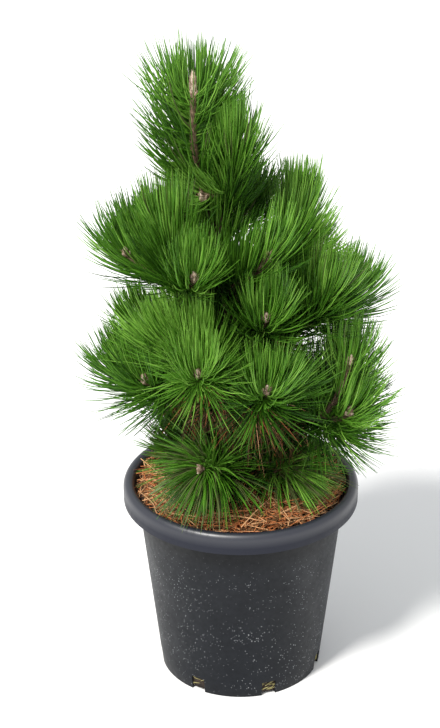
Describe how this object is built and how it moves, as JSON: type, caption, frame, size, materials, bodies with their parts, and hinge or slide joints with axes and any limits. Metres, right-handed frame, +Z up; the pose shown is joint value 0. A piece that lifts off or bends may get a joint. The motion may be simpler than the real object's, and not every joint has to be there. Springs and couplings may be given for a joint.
{
  "type": "potted malinki bosnian pine",
  "caption": "Dwarf Bosnian pine with upright tufts of long stiff needles, standing in a round plastic nursery pot filled to near its rim.",
  "frame": {"origin": "centre of the pot's flat underside", "axes": "+Z up, -Y the side the picture shows, +X to the right as seen from there"},
  "size_m": [0.4988, 0.5087, 0.9926],
  "materials": {
    "pot_plastic": "satin, with pale dust specks",
    "litter": "matte fallen needles over bark and peat",
    "bark": "rough, scaly",
    "needles": "satin, waxy"
  },
  "bodies": {
    "root": {"bough_back": "bark", "bough_back_foot": "bark", "bough_back_left": "bark", "bough_back_left_foot": "bark", "bough_back_left_upper": "bark", "bough_back_right": "bark", "bough_back_right_low": "bark", "bough_back_upper": "bark", "bough_front_foot": "bark", "bough_front_left": "bark", "bough_front_middle": "bark", "bough_front_right": "bark", "bough_front_upper": "bark", "bough_left": "bark", "bough_left_foot": "bark", "bough_left_middle": "bark", "bough_left_upper": "bark", "bough_right": "bark", "bough_right_foot": "bark", "bough_right_middle": "bark", "bough_right_upper": "bark", "bough_second_leader": "bark", "needles_back": "needles", "needles_back_foot": "needles", "needles_back_left": "needles", "needles_back_left_foot": "needles", "needles_back_left_upper": "needles", "needles_back_right": "needles", "needles_back_right_low": "needles", "needles_back_upper": "needles", "needles_front_foot": "needles", "needles_front_left": "needles", "needles_front_middle": "needles", "needles_front_right": "needles", "needles_front_upper": "needles", "needles_leader": "needles", "needles_left": "needles", "needles_left_foot": "needles", "needles_left_middle": "needles", "needles_left_upper": "needles", "needles_right": "needles", "needles_right_foot": "needles", "needles_right_middle": "needles", "needles_right_upper": "needles", "needles_second_leader": "needles", "pot": "pot_plastic", "soil": "litter", "trunk": "bark"}
  },
  "joints": []
}
